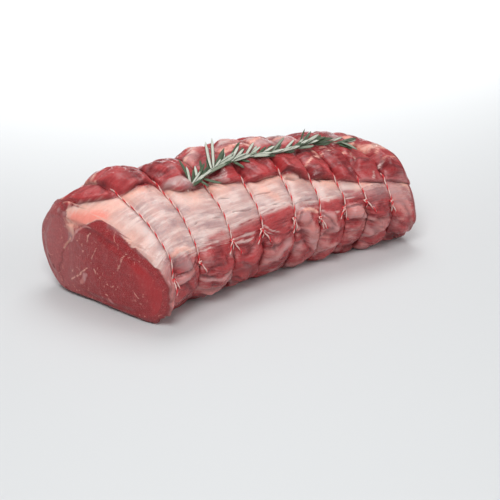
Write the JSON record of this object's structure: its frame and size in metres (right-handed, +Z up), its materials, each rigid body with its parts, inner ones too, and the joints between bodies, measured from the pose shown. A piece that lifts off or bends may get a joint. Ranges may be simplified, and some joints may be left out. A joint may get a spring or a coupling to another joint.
{
  "type": "tied raw beef roasting joint",
  "caption": "Boneless beef joint for roasting, rolled and tied in loops of twine, with one oblique cut face and a rosemary sprig laid on top.",
  "frame": {"origin": "centre of the footprint of the whole part, on the surface it lies on", "axes": "+X along the joint towards its small end, +Y towards the plain back side, +Z up"},
  "size_m": [0.3321, 0.1505, 0.1198],
  "materials": {
    "meat": "moist raw meat: red muscle under pale membrane and fat",
    "twine": "two-ply cotton twine, white with a red strand",
    "leaves": "matt grey-green leaves on a brown stem"
  },
  "bodies": {
    "root": {"beef": "meat", "string_1": "twine", "string_2": "twine", "string_3": "twine", "string_4": "twine", "string_5": "twine", "string_6": "twine", "string_7": "twine", "string_8": "twine", "string_9": "twine", "rosemary": "leaves"}
  },
  "joints": []
}
